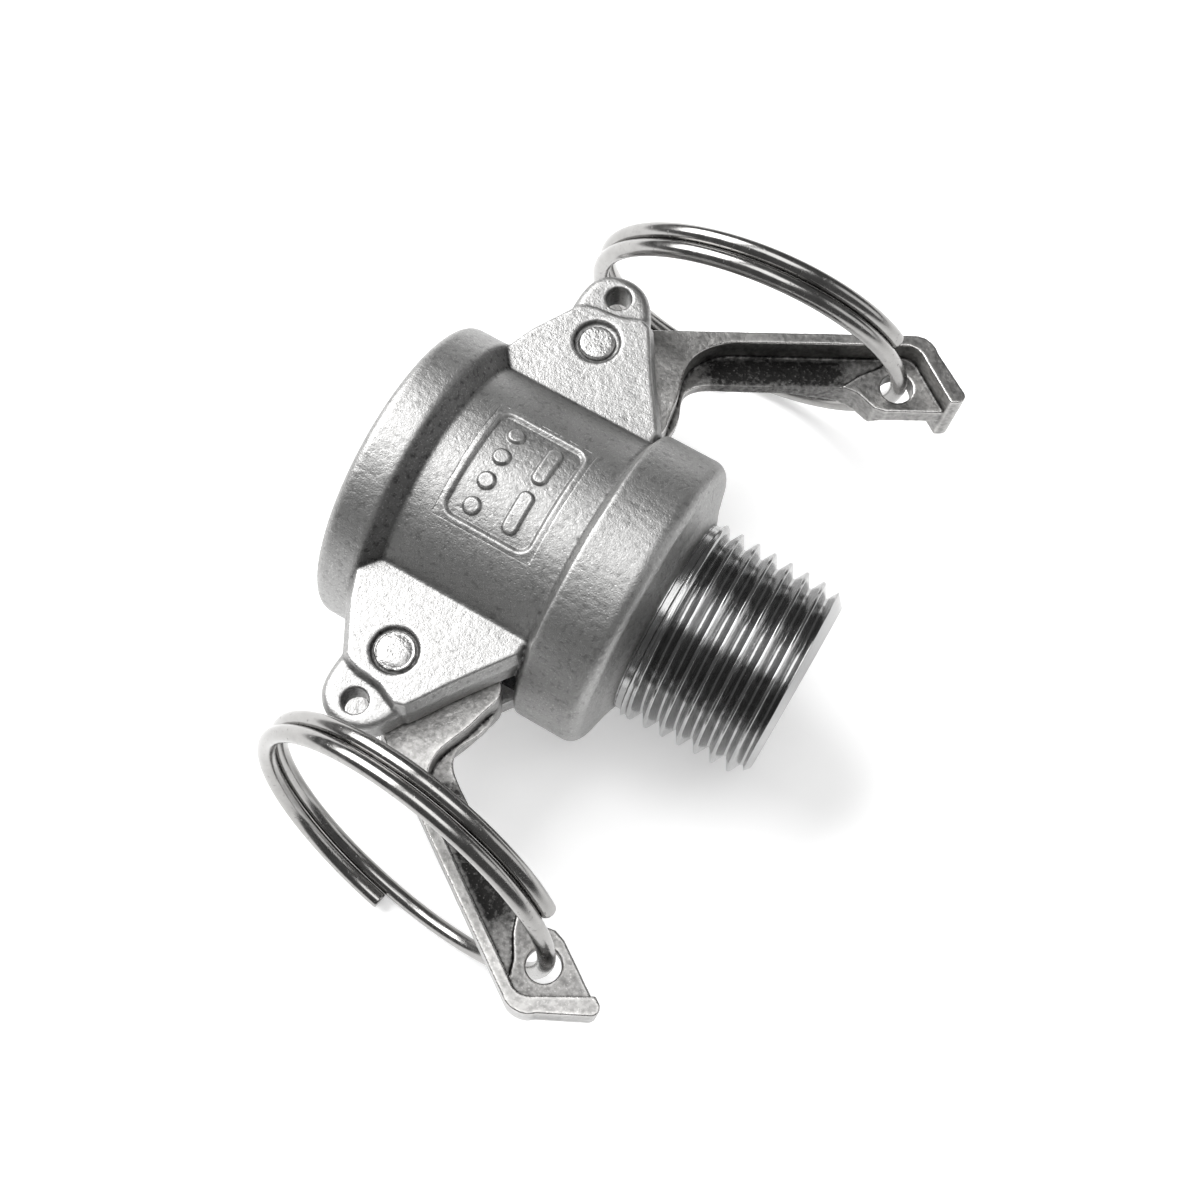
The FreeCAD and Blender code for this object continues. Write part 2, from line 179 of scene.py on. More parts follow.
# ---- materials ---------------------------------------------------------------------------------
def graph(name):
    m = bpy.data.materials.new(name)
    m.use_nodes = True
    t = m.node_tree
    t.nodes.clear()
    out = t.nodes.new("ShaderNodeOutputMaterial")
    b = t.nodes.new("ShaderNodeBsdfPrincipled")
    t.links.new(b.outputs[0], out.inputs[0])
    return m, t, b


def coords(t):
    c = t.nodes.new("ShaderNodeTexCoord")
    s = t.nodes.new("ShaderNodeVectorMath")
    s.operation = "SCALE"
    s.inputs["Scale"].default_value = 1000.0
    t.links.new(c.outputs["Object"], s.inputs[0])
    return s.outputs[0]


def noise_tex(t, vec, scale, detail=3.0, rough=0.55, distortion=0.0):
    n = t.nodes.new("ShaderNodeTexNoise")
    n.inputs["Scale"].default_value = scale
    n.inputs["Detail"].default_value = detail
    n.inputs["Roughness"].default_value = rough
    n.inputs["Distortion"].default_value = distortion
    t.links.new(vec, n.inputs["Vector"])
    return n.outputs["Fac"]


def spread(t, value, a, b, lo, hi):
    m = t.nodes.new("ShaderNodeMapRange")
    m.clamp = True
    for k, v in (("From Min", a), ("From Max", b), ("To Min", lo), ("To Max", hi)):
        m.inputs[k].default_value = v
    t.links.new(value, m.inputs["Value"])
    return m.outputs[0]


def math_node(t, op, a, b):
    m = t.nodes.new("ShaderNodeMath")
    m.operation = op
    for i, v in enumerate((a, b)):
        if isinstance(v, (int, float)):
            m.inputs[i].default_value = v
        else:
            t.links.new(v, m.inputs[i])
    return m.outputs[0]


def attribute(t, name):
    a = t.nodes.new("ShaderNodeAttribute")
    a.attribute_name = name
    return a.outputs["Fac"]


def grey(t, value, tint=(1.0, 1.0, 1.0)):
    c = t.nodes.new("ShaderNodeCombineColor")
    for i, k in enumerate(tint):
        t.links.new(math_node(t, "MULTIPLY", value, k), c.inputs[i])
    return c.outputs[0]


def bump(t, height, distance, strength, normal=None):
    b = t.nodes.new("ShaderNodeBump")
    b.inputs["Strength"].default_value = strength
    b.inputs["Distance"].default_value = distance
    t.links.new(height, b.inputs["Height"])
    if normal is not None:
        t.links.new(normal, b.inputs["Normal"])
    return b.outputs[0]


def cast_steel(name, level, rough, grain, depth, wear_and_shade_gain=0.0, speck=0.12, flat_and_shade_gain=0.0, tint=(1.0, 0.995, 0.985)):
    """Bead-blasted casting: fine grain, scattered bright specks, broad mottling."""
    m, t, b = graph(name)
    v = coords(t)
    b.inputs["Metallic"].default_value = 1.0
    fine = noise_tex(t, v, grain, 2.0, 0.6)
    coarse = noise_tex(t, v, grain * 0.33, 2.0, 0.5)
    broad = noise_tex(t, v, 0.22, 3.0, 0.55)
    pits = t.nodes.new("ShaderNodeTexVoronoi")
    pits.inputs["Scale"].default_value = grain * 0.62
    t.links.new(v, pits.inputs["Vector"])
    level_v = spread(t, broad, 0.3, 0.7, level * 0.93, level * 1.06)
    specks = spread(t, fine, 0.58, 0.74, 0.0, speck)
    level_v = math_node(t, "ADD", level_v, specks)
    hollow = spread(t, coarse, 0.30, 0.46, -0.09, 0.0)
    level_v = math_node(t, "ADD", level_v, hollow)
    # painted shade and wear: the edge attribute colours concave creases darker as painted shade and convex crests
    # lighter as worn edges
    if wear_and_shade_gain:
        e = attribute(t, "edge")
        level_v = math_node(t, "ADD", level_v, spread(t, e, -0.10, 0.10, -wear_and_shade_gain, wear_and_shade_gain))
    rough_v = spread(t, fine, 0.3, 0.7, rough + 0.07, rough - 0.07)
    # the flat attribute lifts the colour of the ears' flat faces and, where negative, paints shade darker on the
    # lip shoulder and the barrel's creases
    if flat_and_shade_gain:
        flat = attribute(t, "flat")
        level_v = math_node(t, "ADD", level_v, math_node(t, "MULTIPLY", flat, flat_and_shade_gain))
        rough_v = math_node(t, "SUBTRACT", rough_v, math_node(t, "MULTIPLY", flat, 0.06))
    t.links.new(grey(t, level_v, tint), b.inputs["Base Color"])
    t.links.new(rough_v, b.inputs["Roughness"])
    h = math_node(t, "ADD", math_node(t, "MULTIPLY", fine, 0.55), math_node(t, "MULTIPLY", coarse, 0.8))
    h = math_node(t, "SUBTRACT", h, spread(t, pits.outputs["Distance"], 0.0, 0.35, 0.30, 0.0))
    t.links.new(bump(t, h, depth, 1.0), b.inputs["Normal"])
    return m


def turned_steel(name, level=0.62, rough=0.20):
    """Lathe-cut stainless: fine feed lines round the X axis."""
    m, t, b = graph(name)
    v = coords(t)
    b.inputs["Metallic"].default_value = 1.0
    sep = t.nodes.new("ShaderNodeSeparateXYZ")
    t.links.new(v, sep.inputs[0])
    wave = t.nodes.new("ShaderNodeTexNoise")
    wave.noise_dimensions = "1D"
    wave.inputs["Scale"].default_value = 9.0
    wave.inputs["Detail"].default_value = 3.0
    t.links.new(sep.outputs[0], wave.inputs["W"])
    patch = noise_tex(t, v, 0.8, 3.0, 0.6)
    lines = wave.outputs["Fac"]
    t.links.new(grey(t, spread(t, patch, 0.3, 0.7, level * 0.94, level * 1.05)), b.inputs["Base Color"])
    t.links.new(
        math_node(t, "ADD", spread(t, patch, 0.3, 0.7, rough - 0.04, rough + 0.06), spread(t, lines, 0.4, 0.7, 0.0, 0.06)),
        b.inputs["Roughness"],
    )
    t.links.new(bump(t, lines, 0.000012, 0.7), b.inputs["Normal"])
    return m


def wire_steel(name):
    m, t, b = graph(name)
    v = coords(t)
    b.inputs["Metallic"].default_value = 1.0
    patch = noise_tex(t, v, 0.9, 3.0, 0.6)
    fine = noise_tex(t, v, 9.0, 2.0, 0.5)
    nick = spread(t, noise_tex(t, v, 2.6, 2.0, 0.5), 0.66, 0.72, 0.0, 1.0)
    level = math_node(t, "SUBTRACT", spread(t, patch, 0.3, 0.7, 0.30, 0.36), math_node(t, "MULTIPLY", nick, 0.08))
    t.links.new(grey(t, level, (1.0, 0.985, 0.965)), b.inputs["Base Color"])
    t.links.new(
        math_node(t, "ADD", spread(t, patch, 0.3, 0.7, 0.17, 0.25), math_node(t, "MULTIPLY", nick, 0.2)),
        b.inputs["Roughness"],
    )
    t.links.new(bump(t, math_node(t, "SUBTRACT", math_node(t, "MULTIPLY", fine, 0.3), nick), 0.00001, 0.6), b.inputs["Normal"])
    return m


def lever_steel(name):
    """Tumbled casting: polished high edges, creases and grainy pockets darkened with painted shade, from the baked
    point values.
    """
    m, t, b = graph(name)
    v = coords(t)
    b.inputs["Metallic"].default_value = 1.0
    fine = noise_tex(t, v, 5.2, 2.0, 0.6)
    coarse = noise_tex(t, v, 2.2, 2.0, 0.5)
    broad = noise_tex(t, v, 0.35, 2.0, 0.5)
    pocket = attribute(t, "pocket")
    edge = attribute(t, "edge")
    # painted shade and wear: concave creases are coloured darker as painted shade, convex edges lighter as polished
    # wear
    e = spread(t, edge, -0.06, 0.07, -0.28, 0.26)
    level = spread(t, broad, 0.3, 0.7, 0.29, 0.39)
    level = math_node(t, "ADD", level, e)
    # painted shade: the pocket is coloured down almost to black
    level = math_node(t, "MULTIPLY", level, math_node(t, "SUBTRACT", 1.0, math_node(t, "MULTIPLY", pocket, 0.94)))
    level = math_node(t, "ADD", level, spread(t, coarse, 0.35, 0.65, -0.08, 0.04))
    level = math_node(t, "MAXIMUM", math_node(t, "ADD", level, spread(t, fine, 0.60, 0.74, 0.0, 0.15)), 0.025)
    t.links.new(grey(t, level, (1.0, 0.985, 0.965)), b.inputs["Base Color"])
    r = math_node(t, "ADD", spread(t, fine, 0.3, 0.7, 0.42, 0.30), math_node(t, "MULTIPLY", pocket, 0.22))
    r = math_node(t, "SUBTRACT", r, spread(t, edge, 0.0, 0.09, 0.0, 0.10))
    t.links.new(r, b.inputs["Roughness"])
    h = math_node(t, "ADD", math_node(t, "MULTIPLY", fine, 0.5), coarse)
    amount = math_node(t, "ADD", 0.35, math_node(t, "MULTIPLY", pocket, 0.65))
    t.links.new(bump(t, math_node(t, "MULTIPLY", h, amount), 0.00007, 1.0), b.inputs["Normal"])
    return m


def rubber(name):
    m, t, b = graph(name)
    v = coords(t)
    n = noise_tex(t, v, 5.0, 3.0, 0.6)
    t.links.new(grey(t, spread(t, n, 0.3, 0.7, 0.022, 0.040)), b.inputs["Base Color"])
    t.links.new(spread(t, n, 0.3, 0.7, 0.42, 0.58), b.inputs["Roughness"])
    t.links.new(bump(t, n, 0.00003, 0.5), b.inputs["Normal"])
    return m


CAST = cast_steel("cast_body", 0.33, 0.47, 5.6, 0.000048, wear_and_shade_gain=0.12, speck=0.16, flat_and_shade_gain=0.065)
TURNED = turned_steel("turned_steel", 0.37, 0.17)
PINS = cast_steel("pin_steel", 0.42, 0.38, 4.0, 0.00009, speck=0.20)
LEVER = lever_steel("lever_steel")
WIRE = wire_steel("ring_wire")
RUBBER = rubber("gasket_rubber")

# ---- coupler body: the casting, then the turned end ---------------------------------------------
co, quads, nrm, edge = softened("coupler_body", 0.17, 3, cut_x=NECK_X - 0.02)
rr = np.hypot(co[:, 1], co[:, 2])
bored = (rr < 13.75) & (co[:, 0] < 27.8) | (rr < 7.8)
near_pin = np.minimum(
    np.hypot(co[:, 0] - PIN[0], co[:, 1] - PIN[1]), np.hypot(co[:, 0] - PIN[0], co[:, 1] + PIN[1])
)
w = np.where(bored, 0.0, 1.0) * np.clip((near_pin - 2.3) / 0.8, 0.0, 1.0)
w *= np.clip((NECK_X - 0.2 - co[:, 0]) / 1.0, 0.0, 1.0)
w *= np.clip(co[:, 0] / 0.6, 0.0, 1.0)
ripple = 0.010 * fbm(co, 1.3, 2, 3.1) + 0.022 * fbm(co, 0.28, 2, 7.7)
co = co + nrm * (np.clip(ripple, -0.09, 0.05) * w)[:, None]
# the cast panel is laid over the barrel as its own fine skin, so the casting sinks under it
PANEL_X0, PANEL_X1, PANEL_S0, PANEL_S1 = 9.05, 18.25, -6.40, 5.50
arc = np.arctan2(co[:, 1], co[:, 2]) * BARREL_R
px_ = np.minimum(co[:, 0] - (PANEL_X0 - 0.45), (PANEL_X1 + 0.45) - co[:, 0])
ps_ = np.minimum(arc - (PANEL_S0 - 0.45), (PANEL_S1 + 0.45) - arc)
under = np.clip(np.minimum(px_, ps_) / 0.35, 0.0, 1.0) * (rr > 13.0) * (co[:, 2] > 5)
co = co - nrm * (0.55 * under)[:, None]
mid = co[quads].mean(1)
qr = np.hypot(mid[:, 1], mid[:, 2])
turned = ((qr < 13.75) & (mid[:, 0] < 27.8) & (mid[:, 0] > -1)) | (qr < 7.9)
turned |= mid[:, 0] < 0.06
body = make(
    "coupler_casting", co, quads, "coupler", [CAST, TURNED],
    face_mat=turned.astype(int), replaces=["coupler_body"],
)
add_attribute(body, "edge", edge)
# the ears' and tabs' flat sides, the faces turned straight up or down, are coloured lighter and made smoother than
# the round of the barrel
flat = np.clip((np.abs(nrm[:, 2]) - 0.93) / 0.05, 0, 1) * (np.abs(co[:, 2]) < 9.2) * (np.abs(co[:, 1]) > 10.5)
# painted shade: the shoulder behind the lip, which faces +X, and the concave creases of the outer skin, the corner
# before the rear collar among them, are coloured darker and made rougher
corner = np.clip((nrm[:, 0] - 0.30) / 0.30, 0, 1) * (co[:, 0] < 10.5) * (rr > 13.5)
corner = np.maximum(corner, 0.7 * np.clip((-0.02 - edge) / 0.05, 0, 1) * (rr > 13.0))
add_attribute(body, "flat", flat * (co[:, 0] < 24.0) - 2.4 * corner)


def rounded_box(x, s, x0, x1, s0, s1, corner):
    """Signed distance to a rounded rectangle, negative inside."""
    cx, cs = (x0 + x1) / 2, (s0 + s1) / 2
    qx = np.abs(x - cx) - (x1 - x0) / 2 + corner
    qs = np.abs(s - cs) - (s1 - s0) / 2 + corner
    return np.minimum(np.maximum(qx, qs), 0) + np.hypot(np.maximum(qx, 0), np.maximum(qs, 0)) - corner


def ease(t):
    t = np.clip(t, 0.0, 1.0)
    return t * t * (3 - 2 * t)


def cast_panel():
    step = 0.062
    xs = np.arange(PANEL_X0 - 0.75, PANEL_X1 + 0.75 + step, step)
    ss = np.arange(PANEL_S0 - 0.75, PANEL_S1 + 0.75 + step, step)
    X, S = np.meshgrid(xs, ss, indexing="ij")
    outer = rounded_box(X, S, PANEL_X0, PANEL_X1, PANEL_S0, PANEL_S1, 1.3)
    h = -0.34 * ease((0.05 - outer) / 0.42)
    # a soft raised bead round the pocket
    h = h + 0.03 * np.exp(-((outer - 0.18) / 0.20) ** 2)
    marks = np.full_like(X, 9.0)
    for s_ in (-4.6, -1.9, 0.8, 3.5):
        marks = np.minimum(marks, np.hypot(X - 11.5, S - s_) - 0.80)
    for s0, s1 in ((-5.3, -1.0), (0.1, 4.3)):
        marks = np.minimum(marks, rounded_box(X, S, 14.85, 16.25, s0, s1, 0.65))
    h = h + 0.34 * ease((0.16 - marks) / 0.34)
    pts = np.stack([X, np.zeros_like(X), S], -1).reshape(-1, 3)
    h = h + (0.012 * fbm(pts, 1.9, 2, 2.2) + 0.008 * fbm(pts, 4.0, 2, 8.0)).reshape(X.shape)
    border = np.minimum.reduce([X - xs[0], xs[-1] - X, S - ss[0], ss[-1] - S])
    h = h - 0.10 * (1 - ease(border / 0.30)) + 0.004
    R = BARREL_R + h
    P = np.stack([X, R * np.sin(S / BARREL_R), R * np.cos(S / BARREL_R)], -1)
    idx = np.arange(P.shape[0] * P.shape[1]).reshape(P.shape[:2])
    faces = np.stack([idx[:-1, :-1], idx[:-1, 1:], idx[1:, 1:], idx[1:, :-1]], -1).reshape(-1, 4)
    # walls and a floor, so the skin is a closed solid
    rim = np.concatenate([idx[:, 0], idx[-1, 1:], idx[-2::-1, -1], idx[0, -2:0:-1]])
    top = P.reshape(-1, 3)
    low = top[rim].copy()
    low[:, 1:] *= ((BARREL_R - 0.75) / np.hypot(low[:, 1], low[:, 2]))[:, None]
    n0 = len(top)
    m_ = len(rim)
    mid_ = np.array([[(xs[0] + xs[-1]) / 2, 0.0, BARREL_R - 0.75]])
    verts = np.concatenate([top, low, mid_])
    walls = [(rim[i], rim[(i + 1) % m_], n0 + (i + 1) % m_, n0 + i) for i in range(m_)]
    base = [(n0 + i, n0 + (i + 1) % m_, n0 + m_) for i in range(m_)]
    far = h.reshape(-1)
    o = make("cast_panel", verts, [tuple(f) for f in faces] + walls + base, "coupler", [CAST],
             replaces=["coupler_body"])
    blur = h.copy()
    for _ in range(20):
        blur[1:-1, 1:-1] = (blur[:-2, 1:-1] + blur[2:, 1:-1] + blur[1:-1, :-2] + blur[1:-1, 2:]) / 4
    # painted shade and wear: these edge values colour the sunk floor by the pocket's walls darker as painted shade,
    # and the raised marks and rim lighter as worn crests
    e = np.concatenate([((h - blur) * 0.9).reshape(-1), np.zeros(m_ + 1)])
    add_attribute(o, "edge", e)
    add_attribute(o, "flat", np.zeros(len(verts)))


cast_panel()


def crest_r(x):
    return CREST_R_END + (END_X - x) * TAPER


def turned_r(theta, x):
    """Outside radius of the turned end at angle theta (degrees from +Y toward +Z)."""
    centre = CREST_AT + PITCH * (theta - CREST_ANGLE) / 360.0
    d = np.abs((x - centre + PITCH / 2.0) % PITCH - PITCH / 2.0)   # distance from the nearest crest
    half = PITCH / 2.0
    full = crest_r(x)
    # crest flat, 30 degree flanks, small root
    crest_flat, root_flat = 0.10, 0.10
    t = np.clip((d - crest_flat) / (half - crest_flat - root_flat), 0.0, 1.0)
    t = np.where(t < 0.08, t * t / 0.16, np.where(t > 0.92, 1 - 0.04 - (1 - t) ** 2 / 0.16 + 0.0, t - 0.04))
    depth = THREAD_DEPTH * t / 0.92
    fade = np.clip((x - (THREAD_X + 0.15)) / 1.0, 0.0, 1.0)
    r = full - depth * fade
    # neck, rising to the first thread
    neck = NECK_R + np.clip((x - THREAD_X) / 0.35, 0.0, 1.0) * 1.2
    r = np.minimum(r, neck)
    # chamfer at the end
    cham = CREST_R_END - 1.35 + (END_X - x) * (1.35 + 1.15 * TAPER) / 1.15
    r = np.minimum(r, cham)
    # undercut line between the casting and the neck
    r = np.where(x < NECK_X + 0.12, np.minimum(r, NECK_R - 0.10), r)
    return r


def turned_end():
    n_t = 400
    per = 40
    x0, x1 = NECK_X - 0.15, END_X
    rows = int(math.ceil((x1 - x0 + PITCH) / (PITCH / per))) + 1
    th = np.arange(n_t + 1) * 360.0 / n_t
    base = x0 - PITCH + np.arange(rows) * PITCH / per
    T, Bx = np.meshgrid(th, base, indexing="ij")
    X = np.clip(Bx + PITCH * T / 360.0, x0, x1)
    R = turned_r(T, X)
    rad = np.radians(T)
    P = np.stack([X, R * np.cos(rad), R * np.sin(rad)], -1)
    verts = P.reshape(-1, 3)
    idx = np.arange(verts.shape[0]).reshape(T.shape)
    quads = np.stack([idx[:-1, :-1], idx[1:, :-1], idx[1:, 1:], idx[:-1, 1:]], -1).reshape(-1, 4)
    # end face, inner chamfer and waterway
    prof = [(END_X, CREST_R_END - 1.35), (END_X, CREST_R_END - 1.42), (END_X, WATERWAY_R + 0.72),
            (END_X - 0.05, WATERWAY_R + 0.65), (END_X - 0.65, WATERWAY_R + 0.04), (END_X - 0.8, WATERWAY_R),
            (38.0, WATERWAY_R), (NECK_X - 0.15, WATERWAY_R)]
    start = len(verts)
    ring = []
    for x, r in prof:
        ring.append(np.stack([np.full(n_t + 1, x), r * np.cos(np.radians(th)), r * np.sin(np.radians(th))], -1))
    inner = np.stack(ring, 1)
    idx2 = start + np.arange(inner.shape[0] * inner.shape[1]).reshape(inner.shape[:2])
    q2 = np.stack([idx2[:-1, :-1], idx2[1:, :-1], idx2[1:, 1:], idx2[:-1, 1:]], -1).reshape(-1, 4)
    verts = np.concatenate([verts, inner.reshape(-1, 3)])
    faces = np.concatenate([quads, q2])
    me = bpy.data.meshes.new("coupler_turned_end")
    me.from_pydata((verts * MM).tolist(), [], faces.tolist())
    bm = bmesh.new()
    bm.from_mesh(me)
    bmesh.ops.remove_doubles(bm, verts=bm.verts, dist=2e-7)
    bmesh.ops.dissolve_degenerate(bm, edges=bm.edges, dist=1e-8)
    bmesh.ops.recalc_face_normals(bm, faces=bm.faces)
    bm.to_mesh(me)
    bm.free()
    me.polygons.foreach_set("use_smooth", [True] * len(me.polygons))
    me.materials.append(TURNED)
    o = bpy.data.objects.new("coupler_turned_end", me)
    scene.collection.objects.link(o)
    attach(o, "coupler")
    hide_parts("coupler_body")
    return o


turned_end()


# ---- lathe-made small pieces ---------------------------------------------------------------------
def lathe(profile, n, axis="x", wobble=None):
    """Points and quads of a profile [(along, r)] turned round an axis through the origin."""
    a = np.arange(n) * 2 * math.pi / n
    pts = []
    for i, (x, r) in enumerate(profile):
        rr_ = np.full(n, r)
        dx = np.zeros(n)
        if wobble is not None:
            rr_, dx = wobble(i, a, rr_)
        if axis == "x":
            pts.append(np.stack([x + dx, rr_ * np.cos(a), rr_ * np.sin(a)], -1))
        else:
            pts.append(np.stack([rr_ * np.cos(a), rr_ * np.sin(a), x + dx], -1))
    P = np.stack(pts, 0)
    m = len(profile)
    idx = np.arange(m * n).reshape(m, n)
    nxt = np.roll(idx, -1, axis=1)
    faces = np.stack([idx[:-1], nxt[:-1], nxt[1:], idx[1:]], -1).reshape(-1, 4)
    return P.reshape(-1, 3), [tuple(f) for f in faces]


def arc_profile(points, steps=5):
    """Rounds the corners (x, r, radius) of a lathe profile."""
    out = []
    n = len(points)
    for i, p in enumerate(points):
        if len(p) < 3 or p[2] == 0 or i in (0, n - 1):
            out.append((p[0], p[1]))
            continue
        a, b, c = np.array(points[i - 1][:2]), np.array(p[:2]), np.array(points[i + 1][:2])
        u, v = a - b, c - b
        u, v = u / np.linalg.norm(u), v / np.linalg.norm(v)
        s, e = b + u * p[2], b + v * p[2]
        for k in range(steps + 1):
            f = k / steps
            q = (1 - f) ** 2 * s + 2 * f * (1 - f) * b + f * f * e
            out.append((q[0], q[1]))
    return out


def closed(profile, n, **kw):
    return lathe(list(profile) + [profile[0]], n, **kw)


g = arc_profile([
    (25.2, 8.60), (22.77, 8.60, 0.35), (22.77, 13.43, 0.4), (27.58, 13.43, 0.4), (27.58, 8.60, 0.35), (25.2, 8.60)])
v, f = lathe(g, 128)
make("face_gasket", v, f, "coupler", [RUBBER], replaces=["gasket"])


# ---- pivot pins ------------------------------------------------------------------------------------
def pin(side, name, node, peened):
    rng = np.random.default_rng(5 if peened else 9)
    knocks = rng.uniform(-1, 1, 11)

    def head(sign):
        z = PIN_END_Z * sign
        s = -sign
        if peened and sign > 0:
            return [(z + s * 0.62, PIN_R), (z + s * 0.40, 1.90), (z + s * 0.20, 1.97), (z + s * 0.05, 1.90),
                    (z + s * 0.04, 1.80), (z + s * 0.13, 1.70), (z + s * 0.11, 1.60), (z + s * 0.02, 1.40),
                    (z, 0.9), (z, 0.4), (z, 0.001)]
        return [(z + s * 0.30, PIN_R), (z + s * 0.18, PIN_R - 0.01), (z + s * 0.07, PIN_R - 0.06),
                (z + s * 0.02, PIN_R - 0.15), (z + s * 0.005, 1.35), (z, 0.9), (z, 0.4), (z, 0.001)]

    prof = list(reversed(head(-1))) + [(0.0, PIN_R)] + head(1)
    last = len(prof)

    def wobble(i, a, r):
        up = i > last - 12
        dx = np.zeros(len(a))
        if r[0] > 0.01:
            for k, kn in enumerate(knocks):
                c = 2 * math.pi * k / len(knocks)
                bumpy = np.exp(-((np.angle(np.exp(1j * (a - c)))) / 0.22) ** 2)
                if up and peened and r[0] > 1.78:
                    r = r - 0.13 * abs(kn) * bumpy
                if r[0] > 1.3 and abs(prof[i][0]) > PIN_END_Z - 0.2:
                    dx = dx - 0.06 * abs(kn) * bumpy * np.sign(prof[i][0]) * (r - 1.3) / 0.5
        return r, dx

    v, f = lathe(prof, 96, axis="z", wobble=wobble)
    v = v + np.array([PIN[0], PIN[1] * side, 0.0])
    return make(name, v, f, "coupler", [PINS], replaces=[node])


pin(1, "pin_upper", "pivot_pin_a", False)
pin(-1, "pin_lower", "pivot_pin_b", True)


# ---- cam levers --------------------------------------------------------------------------------------
def lever(node, name, body_name, rest, side):
    co, quads, nrm, edge = softened(node, 0.115, 4)
    # lever coordinates: u along the handle, v outward
    c, s = math.cos(math.radians(rest)), math.sin(math.radians(rest))
    dx, dy = co[:, 0] - PIN[0], (co[:, 1] - PIN[1] * side) * side
    u, v = dx * c + dy * s, -dx * s + dy * c
    # painted shade mask: the pocket inside the handle's flanges, darkest next to the outer flange
    inside = np.clip((2.75 - v) / 0.5, 0, 1) * np.clip((u - 10.5) / 2.0, 0, 1)
    inside *= np.clip((2.6 - np.abs(co[:, 2])) / 0.8, 0, 1) * np.clip((27.5 - u) / 3.0, 0.25, 1)
    near = np.clip((v + 2.0) / 2.4, 0.30, 1.0)
    pocket = inside * near
    bore = np.clip((np.hypot(u, v) - 2.2) / 0.6, 0, 1)
    ripple = 0.010 * fbm(co, 1.3, 2, 1.3 + side) + 0.018 * fbm(co, 0.33, 2, 5.0 + side)
    co = co + nrm * (np.clip(ripple, -0.07, 0.03) * bore)[:, None]
    o = make(name, co, quads, body_name, [LEVER], replaces=[node])
    add_attribute(o, "edge", edge)
    add_attribute(o, "pocket", pocket)
    return o


lever("cam_lever_a", "lever_upper", "lever_a", REST_A, 1)
lever("cam_lever_b", "lever_lower", "lever_b", REST_B, -1)


# ---- split pull rings ----------------------------------------------------------------------------------
def ring_hole_at(rest, side):
    c, n = math.cos(math.radians(rest)), math.sin(math.radians(rest))
    u, v = RING_HOLE
    return Vector((PIN[0] + u * c - v * n, side * (PIN[1] + u * n + v * c), 0))


def split_ring(name, node, body_name, hole, yaw, tilt):
    n_s = 360
    n_c = 36
    deg = np.linspace(0.0, RING_TURNS * 360.0, n_s)
    # short rounded caps at the two cut ends
    at_hole = -math.degrees(math.asin(RING_LIFT / (RING_R * math.cos(tilt))))
    shift = -RING_PITCH * (360.0 + at_hole - RING_START) / 360.0
    t = np.radians(deg + RING_START)
    path = np.stack([RING_R * np.cos(t), RING_R * np.sin(t), RING_PITCH * deg / 360.0 + shift], -1)
    tan = np.stack([-RING_R * np.sin(t), RING_R * np.cos(t), np.full(n_s, RING_PITCH / (2 * math.pi))], -1)
    tan /= np.linalg.norm(tan, axis=1)[:, None]
    out = np.stack([np.cos(t), np.sin(t), np.zeros(n_s)], -1)
    bi = np.cross(tan, out)
    a = np.arange(n_c) * 2 * math.pi / n_c
    rows = []

    def loop(i, r, along=0.0):
        return (path[i] + tan[i] * along)[None, :] + r * (
            np.cos(a)[:, None] * out[i][None, :] + np.sin(a)[:, None] * bi[i][None, :]
        )

    for r, al in ((0.02, 0.0), (0.35, 0.0), (0.62, 0.0), (0.76, 0.02), (0.82, 0.07), (WIRE_R, 0.18)):
        rows.append(loop(0, r, al))
    step = RING_R * math.radians(deg[1] - deg[0])
    for i in range(1, n_s - 1):
        rows.append(loop(i, WIRE_R))
    for r, al in ((WIRE_R, -0.18), (0.82, -0.07), (0.76, -0.02), (0.62, 0.0), (0.35, 0.0), (0.02, 0.0)):
        rows.append(loop(n_s - 1, r, al))
    P = np.stack(rows, 0)
    idx = np.arange(P.shape[0] * n_c).reshape(P.shape[0], n_c)
    nxt = np.roll(idx, -1, axis=1)
    faces = [tuple(f) for f in np.stack([idx[:-1], nxt[:-1], nxt[1:], idx[1:]], -1).reshape(-1, 4)]
    faces += [tuple(idx[0]), tuple(idx[-1])]
    h = Vector((math.cos(yaw), math.sin(yaw), 0))
    across = Vector((-math.sin(yaw), math.cos(yaw), 0))
    w = across * (-math.sin(tilt)) + Vector((0, 0, 1)) * math.cos(tilt)
    k = h.cross(w)
    ar = math.radians(at_hole)
    c = hole - h * (RING_R * math.cos(ar)) - w * (RING_R * math.sin(ar))
    M = np.array([[h.x, w.x, k.x], [h.y, w.y, k.y], [h.z, w.z, k.z]])
    pts = P.reshape(-1, 3) @ M.T + np.array(c)
    return make(name, pts, faces, body_name, [WIRE], replaces=[node])


split_ring("ring_upper", "pull_ring_a", "ring_a", ring_hole_at(REST_A, 1), RING_A_YAW, RING_A_TILT)
split_ring("ring_lower", "pull_ring_b", "ring_b", ring_hole_at(REST_B, -1), RING_B_YAW, RING_B_TILT)

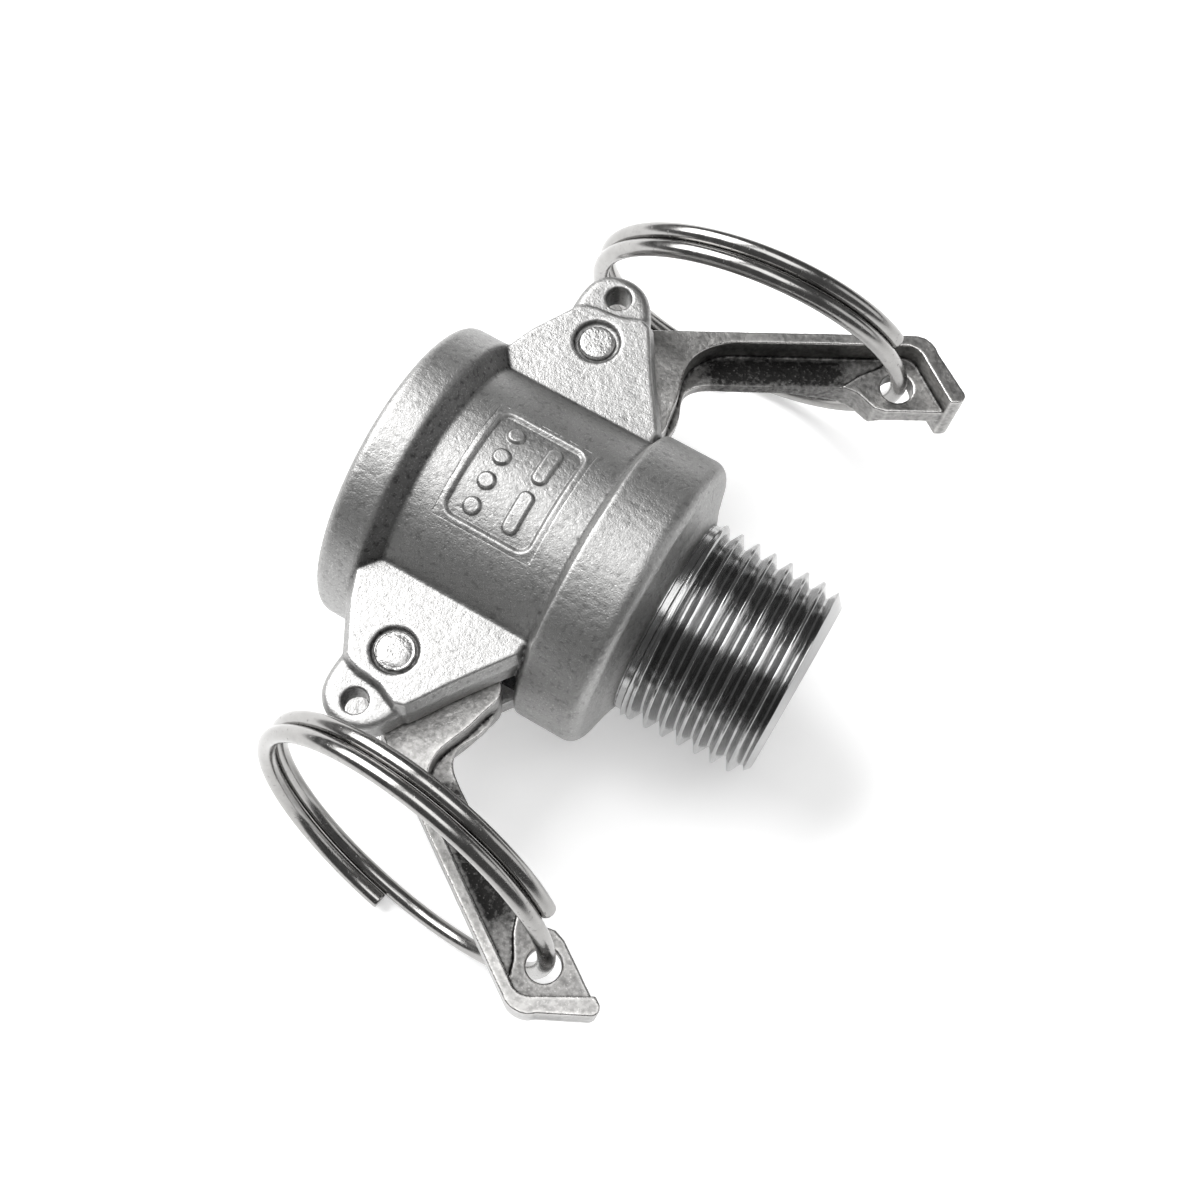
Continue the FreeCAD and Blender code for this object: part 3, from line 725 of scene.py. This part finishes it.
# ---- floor, light and camera -----------------------------------------------------------------------------
FLOOR_Z = cad_lo.z - 0.00002
fm, ft, fb = graph("floor_white")
fb.inputs["Base Color"].default_value = (0.92, 0.92, 0.92, 1)
fb.inputs["Roughness"].default_value = 0.9
fb.inputs["Specular IOR Level"].default_value = 0.15
fb.inputs["Emission Color"].default_value = (1, 1, 1, 1)
fb.inputs["Emission Strength"].default_value = 0.38
bm = bmesh.new()
bmesh.ops.create_grid(bm, x_segments=2, y_segments=2, size=3.0)
fme = bpy.data.meshes.new("floor")
bm.to_mesh(fme)
bm.free()
fme.materials.append(fm)
floor = bpy.data.objects.new("floor", fme)
floor.location = (0.02, 0, FLOOR_Z)
scene.collection.objects.link(floor)

# camera axes in the object's frame
RIGHT = Vector((0.85878844, 0.51231721, 0.00367245))
UP = -Vector((0.49139805, -0.82165167, -0.28881914))
BACK = -Vector((-0.14494954, 0.24983918, -0.95737663))
cd = bpy.data.cameras.new("camera")
cd.sensor_width = 36.0
cd.lens = 1514.924 / 1200.0 * 36.0
cd.shift_x, cd.shift_y = 0.0617, 0.0783
cd.clip_start, cd.clip_end = 0.005, 10.0
cam = bpy.data.objects.new("camera", cd)
m = Matrix((RIGHT, UP, BACK)).transposed().to_4x4()
m.translation = Vector((44.1318, -50.4374, 140.1278)) * MM
cam.matrix_world = m
scene.collection.objects.link(cam)
scene.camera = cam

CENTRE = Vector((0.022, 0.0, 0.0))
FLAT_RIGHT = Vector((RIGHT.x, RIGHT.y, 0)).normalized()
FLAT_UP = Vector((UP.x, UP.y, 0)).normalized()


def softbox(name, right, up, high, size_x, size_y, power, shade=1.0):
    """Area light at right/up/high metres from the object as the camera sees it, aimed at the object."""
    li = bpy.data.lights.new(name, "AREA")
    li.shape = "RECTANGLE"
    li.size, li.size_y = size_x, size_y
    li.energy = power
    li.color = (shade, shade, shade)
    o = bpy.data.objects.new(name, li)
    pos = CENTRE + FLAT_RIGHT * right + FLAT_UP * up + Vector((0, 0, high))
    o.location = pos
    o.rotation_mode = "QUATERNION"
    o.rotation_quaternion = (CENTRE - pos).to_track_quat("-Z", "Y")
    scene.collection.objects.link(o)
    return o


softbox("key", -0.42, 0.36, 0.62, 0.75, 0.60, 11.0)
softbox("top", 0.05, -0.05, 0.95, 0.60, 0.60, 3.0)
softbox("fill", 0.75, -0.10, 0.35, 0.40, 0.60, 0.9)

world = bpy.data.worlds.new("studio")
world.use_nodes = True
world.node_tree.nodes["Background"].inputs["Color"].default_value = (1, 1, 1, 1)
world.node_tree.nodes["Background"].inputs["Strength"].default_value = 0.13
scene.world = world
scene.view_settings.view_transform = "Standard"
scene.view_settings.look = "None"
scene.view_settings.exposure = 0.0
